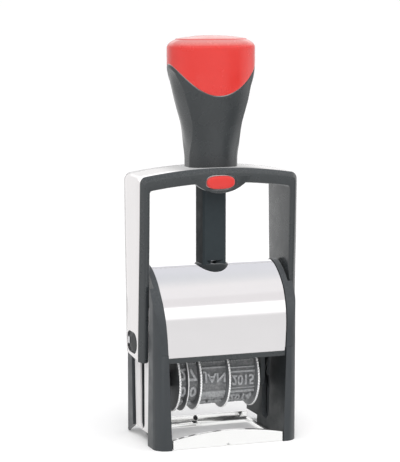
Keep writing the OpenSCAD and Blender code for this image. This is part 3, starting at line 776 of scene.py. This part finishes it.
def bow_frame():
    outer = outer_path(STRIP_T, LEG_END)
    inner = arch_path(half_width=30.9, corner=1.2, crown=CROWN_R - 6.1, low=LEG_END)
    path = stations(outer, inner)
    first, last = path[0], path[-1]
    # each leg end is rounded over between two rings
    rings = [bow_ring(first, frame_section(first, END_ROUND)),
             bow_ring(first, frame_section(first), lift=0.35)]
    rings += [bow_ring(s, frame_section(s)) for s in path[1:-1]]
    rings += [bow_ring(last, frame_section(last), lift=0.35),
              bow_ring(last, frame_section(last, END_ROUND))]
    bow = temporary(loft(rings))
    boolean(bow, [button_lobe()], "UNION")
    slant(bow)
    pin_hole = circle(0, PIVOT_Z, 2.53, n=48)
    boolean(bow, [
        box((-5.35, -5.15, 100), (5.35, 5.15, 130)),                       # column passage
        prism(squarish_oval(0, BUTTON_Z, 6.75, 3.3), "y", -20, -6.0),      # button opening
        box((-1.7, -8, 106.75), (1.7, -4, 108.05)),                        # tongue slot
        pivot_seat(33, 40), pivot_seat(-40, -33),
        prism(pin_hole, "x", 20, 40), prism(pin_hole, "x", -40, -20)])
    obj = finish("bow_frame_moulding", take(bow), "bow", "dark_plastic", [DARK, PLUG_AND_OPENING_SHADE],
                 sharp=28.0, replaces=("bow_frame",))
    # the walls of the button opening take the second material, a darker plastic: painted shade in the
    # opening
    for face in obj.data.polygons:
        c = face.center / MM
        up = c.z - BUTTON_Z
        shaded_opening_wall = (c.x / 7.3) ** 2 + (up / 3.9) ** 2 < 1.6 and abs(c.x) < 7.1 and abs(up) < 3.7
        face.material_index = int(shaded_opening_wall and abs(face.normal.y) < 0.7 and c.y < -5.5)


def bow_strip():
    """Polished strip inlaid along the outermost outline."""
    low = LEG_END + 0.3
    path = stations(outer_path(0.0, low), outer_path(STRIP_T, low))
    strip = temporary(loft([bow_ring(s, strip_section(s)) for s in path]))
    slant(strip)
    boolean(strip, [pivot_seat(30, 40, gap=0.02), pivot_seat(-40, -30, gap=0.02),
                    box((-8, -7, 100), (8, 7, 130))])
    finish("bow_strip_inlay", take(strip), "bow", "polished_strip", CHROME, sharp=28.0,
           replaces=("bow_strip",))


bow_frame()
bow_strip()

# ------------------------------------------------------------------ pivot caps
# (inset, x) from the seat outwards
CAP_RINGS = ((0.25, 33.05), (0.0, 33.2), (0.0, 34.1), (0.1, 34.36), (0.36, 34.55),
             (0.8, 34.66), (1.6, 34.72), (2.6, 34.74))
RING_RINGS = ((0.2, 33.05), (0.0, 33.2), (0.0, 33.75), (0.1, 33.92), (0.35, 34.0),
              (0.9, 34.02))
# (y, z)
CLIP = [(4.9, 41.2), (5.1, 41.0), (7.0, 41.0), (7.3, 41.3), (7.45, 42.35), (7.3, 43.4),
        (7.0, 43.7), (5.1, 43.7), (4.9, 43.5)]


def stadium_stack(cy, half_length, r, rings, side):
    return loft([[(side * x, y, z)
                  for y, z in stadium(cy, PIVOT_Z, half_length - inset, r - inset, n=16)]
                 for inset, x in rings], first_step=1)


# in each seat: a domed plug on a shallow ring, and a bright clip end towards the rear
for side, label, replaced in ((1, "right", ("pivot_caps",)), (-1, "left", ())):
    make("pivot_cap_" + label, stadium_stack(-1.0, 4.6, 3.75, CAP_RINGS, side),
         "bow", "black_plastic", PLUG_AND_OPENING_SHADE, sharp=30.0, replaces=replaced)
    make("pivot_ring_" + label, stadium_stack(0.55, 6.82, 4.38, RING_RINGS, side),
         "bow", "black_plastic", COLLAR, sharp=30.0)
    make("pivot_clip_" + label, prism(CLIP, "x", side * 33.4, side * 34.6),
         "bow", "pin_steel", STEEL, sharp=35.0)

# ------------------------------------------------------------------ handle
NECK_X, NECK_Y = 11.1, 9.1     # half sizes at the neck
CAP_X, CAP_Y = 18.9, 11.6      # half sizes at the cap
OVAL_POWER = 0.87
ARC_STEPS = 34                 # samples of the front and of the rear arc
SIDE_STEPS = 12                # samples of each scooped side
GRIP_N = 2 * (ARC_STEPS + SIDE_STEPS)
GRIP_ROWS = 44
CAP_N = 96
CAP_ROWS = 16


def smooth(t):
    u = min(1.0, max(0.0, t))
    return u * u * (3 - 2 * u)


def half_x(z):
    return NECK_X + (CAP_X - 0.5 - NECK_X) * smooth((z - 118.5) / 26.5) + 0.5 * smooth((z - 148) / 12)


def half_y(z):
    return NECK_Y + (CAP_Y - NECK_Y) * smooth((z - 118) / 38)


def scoop_x(z):
    """Half width at the middle of the scooped sides."""
    rise = (CAP_X - NECK_X - 0.65) * smooth((z - 120.5) / 37.5)
    return NECK_X - 0.35 + rise + max(0.0, z - 155) * 0.5


def bulge(z):
    """How far the middle of a scooped side stands out beyond its front and rear edges."""
    return 1.9 * smooth((z - 121) / 15) * smooth((156.5 - z) / 9) + 0.05


def seam_z(x):
    """Seam between grip and cap."""
    return 145.1 + 0.0365 * x * x


def crown_z(x):
    """Crown of the bow, on which the grip stands."""
    return CROWN_Z + math.sqrt((CROWN_R + 0.04) ** 2 - x * x)


def solve(excess, low, high):
    """z at which a rising function passes zero."""
    for _ in range(40):
        middle = (low + high) / 2
        if excess(middle) > 0:
            high = middle
        else:
            low = middle
    return (low + high) / 2


def oval_point(a, x_size, y_size):
    return (x_size * signed_power(math.cos(a), OVAL_POWER),
            y_size * signed_power(math.sin(a), OVAL_POWER))


def grip_point(i, z):
    """Point i of the oval with scooped sides."""
    x_size, y_size = half_x(z), half_y(z)
    out = bulge(z)
    ratio = min(0.9985, (scoop_x(z) - out) / x_size)
    edge = max(math.acos(max(0.0, ratio) ** (1 / OVAL_POWER)), 0.06)
    half = ARC_STEPS + SIDE_STEPS
    k = i % half
    flip = 1 if i < half else -1
    quarter = SIDE_STEPS // 2
    if quarter <= k <= quarter + ARC_STEPS:
        a = edge + (PI - 2 * edge) * (k - quarter) / ARC_STEPS
        x, y = oval_point(a, x_size, y_size)
    else:
        edge_x, edge_y = oval_point(edge, x_size, y_size)
        t = k / quarter if k < quarter else (half - k) / quarter
        y = edge_y * t
        x = (edge_x + out * (1 - t ** 1.7)) * (1 if k < quarter else -1)
    return (x * flip, y * flip)


def grip_rings():
    ends = [(solve(lambda z: z - crown_z(grip_point(i, z)[0]), 112, 118),
             solve(lambda z: z - seam_z(grip_point(i, z)[0]), 138, 168))
            for i in range(GRIP_N)]
    rings = []
    for k in range(GRIP_ROWS + 1):
        t = k / GRIP_ROWS
        heights = [low + (high - 0.35 - low) * t for low, high in ends]
        rings.append([(*grip_point(i, z), z) for i, z in enumerate(heights)])
    # rolled upper edge: (height from the seam, inset)
    for dz, inset in ((-0.16, 0.05), (-0.03, 0.2), (0.0, 0.45), (0.0, 2.6), (0.6, 2.7)):
        ring = []
        for i, (_, high) in enumerate(ends):
            x, y = grip_point(i, high)
            out = Vector((x / CAP_X ** 2, y / CAP_Y ** 2)).normalized()
            ring.append((x - out.x * inset, y - out.y * inset, high + dz))
        rings.append(ring)
    # core inside the cap: (part of the way up, scale)
    shoulder = rings[-1]
    for part, scale in ((0.5, 1.0), (0.95, 1.0), (1.0, 0.94)):
        rings.append([(x * scale, y * scale, z + (161.6 - z) * part) for x, y, z in shoulder])
    return rings


def handle_grip():
    vertices, faces, rows = loft_sides(grip_rings())
    # the underside follows the crown: strips between points mirrored front to rear
    for i in range(GRIP_N // 2):
        corners = (i, i + 1, GRIP_N - i - 1, (GRIP_N - i) % GRIP_N)
        faces.append(list(dict.fromkeys(corners))[::-1])
    faces.append(rows[-1])
    grip = temporary((vertices, faces))
    boolean(grip, [box((-5.5, -5.3, 100), (5.5, 5.3, 158))])
    finish("handle_grip", take(grip), "bow", "handle_plastic", HANDLE, sharp=24.0,
           replaces=("handle_body",))


def cap_point(i, z, inset=0.0):
    return oval_point(2 * PI * i / CAP_N, half_x(z) - inset, half_y(z) - inset)


def cap_ring(heights, inset=0.0):
    return [(*cap_point(i, z, inset), z) for i, z in enumerate(heights)]


def handle_cap():
    """Red shell with a rolled lower edge, a rounded bevel and a crowned top."""
    ceiling = 162.4    # inside
    wall = 2.5
    shoulder = 165.0   # the bevel starts above this
    crown_foot, crown_rise, crown_inset = 168.85, 1.22, 4.3
    roll = 0.36        # height of the rolled lower edge
    seam = [solve(lambda z: z - seam_z(cap_point(i, z)[0]) - 0.22, 138, 168)
            for i in range(CAP_N)]
    rings = [cap_ring([ceiling] * CAP_N, 2.9),
             cap_ring([ceiling - 0.4] * CAP_N, wall),
             cap_ring([(ceiling + z) / 2 for z in seam], wall)]
    # lower edge: (height above the seam, inset)
    for dz, inset in ((0.0, wall), (0.0, 0.45), (0.04, 0.2), (0.17, 0.05)):
        rings.append(cap_ring([z + dz for z in seam], inset))
    for k in range(CAP_ROWS + 1):
        rings.append(cap_ring([z + roll + (shoulder - z - roll) * k / CAP_ROWS for z in seam]))
    # bevel and step: (inset, z)
    for inset, z in ((0.03, 165.2), (0.14, 165.62), (0.34, 166.08), (0.66, 166.56),
                     (1.1, 167.02), (1.65, 167.45), (2.3, 167.85), (2.95, 168.18),
                     (3.35, 168.34), (3.5, 168.40), (3.54, 168.54), (3.64, 168.66),
                     (3.84, 168.76), (crown_inset, crown_foot)):
        rings.append([(*cap_point(i, shoulder, inset), z) for i in range(CAP_N)])
    for k in (0.97, 0.9, 0.75, 0.55, 0.3):
        z = crown_foot + crown_rise * (1 - k * k)
        rings.append([tuple(c * k for c in cap_point(i, shoulder, crown_inset)) + (z,)
                      for i in range(CAP_N)])
    vertices, faces, rows = loft_sides(rings)
    faces.append(rows[0][::-1])
    apex = len(vertices)
    vertices.append((0, 0, 170.07))
    top = rows[-1]
    faces += [[top[i], top[(i + 1) % CAP_N], apex] for i in range(CAP_N)]
    make("handle_cap_shell", (vertices, faces), "bow", "red_plastic", RED, sharp=24.0,
         replaces=("handle_cap",))


def lock_button():
    """Domed button with a tongue behind it."""
    # (inset, y) from the back to the domed front
    rings = ((0.5, -9.2), (0.25, -9.25), (0.0, -9.5), (0.0, -12.0), (0.07, -12.3),
             (0.25, -12.52), (0.55, -12.68), (1.0, -12.79), (1.7, -12.87))
    button = temporary(loft([[(x, y, z) for x, z in
                              squarish_oval(0, BUTTON_Z, 6.2 - inset, 2.82 - inset)]
                             for inset, y in rings], first_step=1, last_step=-1))
    boolean(button, [box((-1.5, -9.7, 106.9), (1.5, -6.7, 107.9))], "UNION")
    finish("lock_button_cap", take(button), "lock", "red_plastic", BUTTON_RED, sharp=30.0,
           replaces=("lock_button",))


handle_grip()
handle_cap()
lock_button()


# ------------------------------------------------------------------ return spring
def return_spring():
    turns, steps, wire_sides = 24, 28, 8
    coil_r, wire_r = 2.75, 0.42
    bottom, top = 65.02, 157.48
    n = turns * steps
    rings = []
    for i in range(n + 1):
        a = 2 * PI * i / steps
        z = bottom + (top - bottom) * (i / n)
        ring = []
        for j in range(wire_sides):
            b = 2 * PI * j / wire_sides
            r = coil_r + wire_r * math.cos(b)
            ring.append((r * math.cos(a), r * math.sin(a), z + wire_r * math.sin(b)))
        rings.append(ring)
    spring = make("return_spring_coil", loft(rings), "base", "spring_steel", SPRING,
                  sharp=60.0, replaces=("return_spring",))
    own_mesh(spring)


return_spring()

# ------------------------------------------------------------------ ink pad felt
PAD_X, PAD_Y = 21.35, 10.95    # half sizes
PAD_BOTTOM, PAD_TOP = 52.72, 57.7


def felt_z(x, y):
    """Uneven lower face, lifting towards its border."""
    border = min(PAD_X - abs(x), PAD_Y - abs(y))
    edge = max(0.0, 1 - border / 0.9)
    return (PAD_BOTTOM + 0.45 * edge * edge
            + 0.05 * noise.noise(Vector((x * 1.7, y * 1.7, 3.1)))
            + 0.035 * noise.noise(Vector((x * 0.35, y * 0.35, 7.7))) + 0.06)


def ink_felt():
    nx, ny = 86, 44
    vertices, faces = [], []
    for ix in range(nx + 1):
        for iy in range(ny + 1):
            x = -PAD_X + 2 * PAD_X * ix / nx
            y = -PAD_Y + 2 * PAD_Y * iy / ny
            vertices += [(x, y, felt_z(x, y)), (x, y, PAD_TOP)]

    def low(ix, iy):
        return 2 * (ix * (ny + 1) + iy)

    def high(ix, iy):
        return low(ix, iy) + 1

    def wall(a, b):
        faces.append([low(*a), low(*b), high(*b), high(*a)])

    for ix in range(nx):
        for iy in range(ny):
            a, b, c, d = (ix, iy), (ix, iy + 1), (ix + 1, iy + 1), (ix + 1, iy)
            faces.append([low(*a), low(*b), low(*c), low(*d)])
            faces.append([high(*a), high(*d), high(*c), high(*b)])
    for ix in range(nx):
        wall((ix, 0), (ix + 1, 0))
        wall((ix + 1, ny), (ix, ny))
    for iy in range(ny):
        wall((0, iy + 1), (0, iy))
        wall((nx, iy), (nx, iy + 1))
    make("ink_felt_pad", (vertices, faces), "pad", "ink_felt", FELT, sharp=50.0,
         replaces=("ink_pad",))


ink_felt()


# ------------------------------------------------------------------ painted shade of the sighting notch
def sight_notch_painted_shade():
    """Dark keyhole shape on the rear flange of the bottom frame, with a smaller one behind."""
    # black pieces stand for the dark inside of a keyhole notch: painted shade
    keyhole = [on_arc(0, 2.75, 0.95, math.radians(a)) for a in range(-250, 71, 10)]
    keyhole += [(0.36, 3.95), (-0.36, 3.95)]
    smaller = [(x * 0.8, 2.9 + (z - 2.9) * 0.86) for x, z in keyhole]
    shape = merge([prism(keyhole, "y", 19.12, 19.58), prism(smaller, "y", 18.9, 19.2)])
    make("sight_notch_painted_shade", shape, "base", "black_plastic", BLACK, sharp=35.0)


sight_notch_painted_shade()

# ------------------------------------------------------------------ raised date characters
AXLE_Z = 25.8
HUB_R = 10.86          # band surface round the hub
NOSE_R = 3.0           # band surface round the upper nose
NOSE_Z = 49.4
PITCH_R = 11.9         # radius on which angles and lengths along a band are measured
TAPER = math.asin((HUB_R - NOSE_R) / (NOSE_Z - AXLE_Z))


def band_point(angle, along, height):
    """(y, z) at `height` over a band; angle in degrees, upwards from the front of the hub."""
    s = (math.radians(angle) * PITCH_R + along) * HUB_R / PITCH_R
    run = s - HUB_R * TAPER
    straight = (NOSE_Z - AXLE_Z) * math.cos(TAPER)
    cy, cz, r = 0.0, AXLE_Z, HUB_R
    if s / HUB_R <= TAPER:
        a = s / HUB_R
    elif run <= straight:
        a = TAPER
        cy, cz = math.sin(TAPER) * run, AXLE_Z + math.cos(TAPER) * run
    else:
        a = TAPER + (run - straight) / NOSE_R
        cz, r = NOSE_Z, NOSE_R
    return (cy - math.cos(a) * (r + height), cz + math.sin(a) * (r + height))


def text_mesh(text):
    curve = bpy.data.curves.new("t", "FONT")
    curve.body = text
    curve.size = 1.0
    curve.extrude = 0.5
    curve.offset = 0.03
    curve.resolution_u = 3
    obj = add_object("t", curve)
    graph = bpy.context.evaluated_depsgraph_get()
    graph.update()
    mesh = bpy.data.meshes.new_from_object(obj.evaluated_get(graph))
    bpy.data.objects.remove(obj)
    return mesh


def character_shape(text, angle, height, x0, x1):
    """Text flipped top to bottom and wrapped on a band."""
    bm = bmesh.new()
    bm.from_mesh(text_mesh(text))
    bmesh.ops.remove_doubles(bm, verts=bm.verts, dist=1e-5)
    xs = [v.co.x for v in bm.verts]
    ys = [v.co.y for v in bm.verts]
    left, right, bottom, top = min(xs), max(xs), min(ys), max(ys)
    y_scale = height / (top - bottom)
    x_scale = min((x1 - x0) / (right - left), y_scale * (1.35 if len(text) > 1 else 0.95))
    for v in bm.verts:
        v.co.x = (v.co.x - (left + right) / 2) * x_scale + (x0 + x1) / 2
        v.co.y = -((v.co.y - (bottom + top) / 2) * y_scale)
    # a cut every half millimetre lets the faces follow the curve
    for half in range(1 - math.ceil(height), math.ceil(height)):
        bmesh.ops.bisect_plane(bm, geom=bm.verts[:] + bm.edges[:] + bm.faces[:],
                               plane_co=(0, half / 2, 0), plane_no=(0, 1, 0), dist=1e-5)
    bm.verts.index_update()
    vertices = [(v.co.x, *band_point(angle, v.co.y, 1.04 if v.co.z > 0 else -0.04))
                for v in bm.verts]
    faces = [[v.index for v in face.verts] for face in bm.faces]
    bm.free()
    return vertices, faces


def ridge_shape(x0, x1, angle, half_width, height):
    """Low bar across a band, with rounded shoulders."""
    steps = [-half_width + 2 * half_width * i / 8 for i in range(9)]
    section = []
    for along in steps:
        edge = min(1.0, (half_width - abs(along)) / 0.18)
        section.append(band_point(angle, along, height * (1 - (1 - edge) ** 2)))
    section += [band_point(angle, along, -0.05) for along in reversed(steps)]
    return prism(section, "x", x0, x1)


# piece, x range, then (text, angle in degrees, height in mm)
CHARACTERS = (
    ("month_characters", -7.6, 2.4,
     (("JAN", 9.6, 5.2), ("DEC", -65.3, 4.7), ("NOV", -103, 4.7), ("OCT", -141, 4.7),
      ("FEB", 118.5, 4.7))),
    ("year_characters", 5.2, 15.2,
     (("2015", -1.5, 4.6), ("2014", -46.9, 4.1), ("2026", -84, 4.1), ("2025", -121, 4.1),
      ("2016", 118.5, 4.1))),
    ("day_tens_characters", -17.7, -15.1,
     (("2", 18.5, 5.4), ("0", -18.6, 4.9), ("3", -54.4, 4.9), ("1", -92, 4.9),
      ("0", -129, 4.9), ("1", 118.5, 4.9))),
    ("day_units_characters", -13.9, -10.1,
     (("7", 17.0, 5.6), ("0", -20.7, 5.0), ("9", -62, 5.0), ("8", -101, 5.0),
      ("6", -139, 5.0), ("2", 118.5, 5.0))),
)
# the characters use the lighter rubber: painted highlight
for name, x0, x1, entries in CHARACTERS:
    make(name, merge([character_shape(*entry, x0, x1) for entry in entries]),
         "carriage", "band_rubber", GLYPH_LIT, sharp=30.0)

# x range, angle in degrees, half width, height
RIDGES = [
    (-8.2, 2.9, 29.5, 0.5, 0.75), (-8.2, 2.9, -34.0, 1.9, 0.7), (-8.2, 2.9, -46.0, 0.35, 0.7),
    (4.5, 15.9, 26.2, 0.4, 0.75), (4.5, 15.9, 16.4, 0.55, 0.8), (4.5, 15.9, -20.5, 0.25, 0.6),
    (4.5, 15.9, -30.0, 0.6, 0.6)]
# rows of short teeth: first x, count
for first_x, count in ((-8.0, 10), (4.7, 10), (-14.0, 4), (-17.6, 3)):
    for i in range(count):
        x = first_x + 1.15 * i
        RIDGES.append((x, x + 0.6, 42.0, 0.3, 0.55))
# the ridges use the lighter rubber: painted highlight
make("band_ridges", merge([ridge_shape(*ridge) for ridge in RIDGES]),
     "carriage", "band_rubber", GLYPH_LIT, sharp=40.0)

# pieces kept out of mirror reflections
for name in ("bow_frame_moulding", "bow_strip_inlay", "handle_grip", "handle_cap_shell",
             "lock_button_cap", "guide_column_v", "column_collar_v", "return_spring_coil"):
    bpy.data.objects[name].visible_glossy = False

# every CAD node still showing gets a finish
for obj in NODES.values():
    if not obj.hide_render:
        obj.data.materials.clear()
        obj.data.materials.append(DARK)


# ------------------------------------------------------------------ studio
def floor():
    """Matt white floor that glows a little to the camera only."""
    material = bpy.data.materials.new("m_floor")
    material.use_nodes = True
    m = Shader(material.node_tree)
    inputs = m.tree.nodes["Principled BSDF"].inputs
    inputs["Base Color"].default_value = (0.93, 0.925, 0.92, 1)
    inputs["Roughness"].default_value = 0.9
    inputs["Specular IOR Level"].default_value = 0.0
    inputs["Emission Color"].default_value = (1, 1, 1, 1)
    camera_ray = m.new("ShaderNodeLightPath").outputs["Is Camera Ray"]
    m.put(inputs["Emission Strength"], m.math("MULTIPLY", camera_ray, 0.15))
    s = 40.0   # half size in metres
    mesh = bpy.data.meshes.new("floor")
    mesh.from_pydata([(-s, -s, 0), (s, -s, 0), (s, s, 0), (-s, s, 0)], [], [[0, 1, 2, 3]])
    obj = add_object("floor", mesh)
    mesh.materials.append(material)
    obj.visible_glossy = False


floor()
scene = bpy.context.scene

# elevation in degrees, brightness, tint
SKY = ((-15, 1.02, (1, 1, 1)), (17, 1.0, (1, 1, 1)), (21.5, 1.6, (1, 1, 1)),
       (35.5, 1.6, (1, 1, 1)), (37.5, 1.06, (1, 0.985, 0.99)), (48, 1.06, (1, 0.985, 0.99)),
       (51, 1.14, (1, 0.99, 0.995)), (64, 1.14, (1, 0.99, 0.995)), (70, 1.05, (0.99, 1, 1.01)))
# azimuth in degrees (0 at the front, growing to the right), brightness below the horizon
HORIZON = ((-110, 1.0), (-80, 1.15), (-50, 0.95), (-25, 0.75), (0, 0.85), (13, 1.02),
           (25, 1.02), (31, 0.5), (48, 0.4), (60, 1.2), (84, 1.6), (104, 0.8), (130, 1.05))


def studio_world():
    """Banded sky for light and reflections; the camera itself sees plain white."""
    world = bpy.data.worlds.new("studio")
    scene.world = world
    world.use_nodes = True
    m = Shader(world.node_tree)
    m.tree.nodes.clear()
    output = m.new("ShaderNodeOutputWorld")
    studio = m.new("ShaderNodeBackground")
    white = m.new("ShaderNodeBackground")
    white.inputs[0].default_value = (1, 1, 1, 1)
    chosen = m.new("ShaderNodeMixShader")
    rays = m.new("ShaderNodeLightPath").outputs
    x, y, z = m.axes(m.new("ShaderNodeTexCoord").outputs["Generated"])

    stops = [((math.sin(math.radians(degrees)) + 1) / 2,
              (value * tint[0], value * tint[1], value * tint[2], 1))
             for degrees, value, tint in SKY]
    sky = m.colour_ramp(m.ramp(z, start=-1.0, end=1.0), first=(0.9, 0.9, 0.9, 1),
                        last=(0.82, 0.85, 0.90, 1), stops=stops)

    azimuth = m.math("ARCTAN2", x, m.math("MULTIPLY", y, -1.0))
    stops = [((degrees + 180) / 360, (value, value, value, 1)) for degrees, value in HORIZON]
    below = m.colour_ramp(m.ramp(azimuth, start=-PI, end=PI), first=(1, 1, 1, 1),
                          last=(1, 1, 1, 1), stops=stops)

    # the high rear sky is a little darker and cooler
    high_rear = m.math("MULTIPLY", m.ramp(z, start=0.50, end=0.66),
                       m.ramp(y, start=-0.22, end=0.30))
    sky = m.mix(high_rear, sky, (0.84, 0.865, 0.905, 1), blend="MULTIPLY")
    m.put(studio.inputs[0], m.mix(m.ramp(z, start=0.02, end=-0.08), sky, below))
    # reflections see the sky at full strength, diffuse light at less
    strength = m.ramp(rays["Is Glossy Ray"], start=0.0, end=1.0, low=0.47, high=1.0)
    m.put(studio.inputs[1], strength)
    m.put(chosen.inputs[0], rays["Is Camera Ray"])
    m.put(chosen.inputs[1], studio.outputs[0])
    m.put(chosen.inputs[2], white.outputs[0])
    m.put(output.inputs[0], chosen.outputs[0])


def aim(obj, direction):
    obj.rotation_euler = direction.to_track_quat("-Z", "Y").to_euler()


def area_light(name, location, target, size, power):
    light = bpy.data.lights.new(name, "AREA")
    light.shape = "RECTANGLE"
    light.size, light.size_y = size
    light.energy = power
    obj = add_object(name, light)
    obj.location = location
    aim(obj, Vector(target) - Vector(location))
    obj.visible_glossy = False


def sun_light():
    light = bpy.data.lights.new("sun", "SUN")
    light.energy = 1.3
    light.angle = math.radians(60)
    obj = add_object("sun", light)
    aim(obj, Vector((0.12, 0.28, -1.0)))
    obj.visible_glossy = False


def camera():
    data = bpy.data.cameras.new("camera")
    data.sensor_width = 36.0
    data.lens = 146.3
    data.clip_start = 0.01
    obj = bpy.data.objects.new("camera", data)
    yaw, pitch = math.radians(19.70), math.radians(7.80)
    obj.location = (-0.2688, -0.7372, 0.1953)
    aim(obj, Vector((math.sin(yaw) * math.cos(pitch), math.cos(yaw) * math.cos(pitch),
                     -math.sin(pitch))))
    scene.collection.objects.link(obj)
    scene.camera = obj


studio_world()
sun_light()
area_light("key", location=(-0.30, -0.80, 0.70), target=(0, 0, 0.09), size=(0.5, 0.5), power=2.0)
area_light("low", location=(-0.10, -0.55, 0.05), target=(0, 0, 0.03), size=(0.22, 0.08),
           power=0.55)
area_light("fill", location=(0.75, -0.35, 0.45), target=(0, 0, 0.09), size=(0.5, 0.6), power=1.0)
camera()
scene.view_settings.view_transform = "Standard"
scene.view_settings.look = "None"
scene.view_settings.exposure = 0.0
scene.cycles.use_denoising = True

bpy.context.view_layer.update()
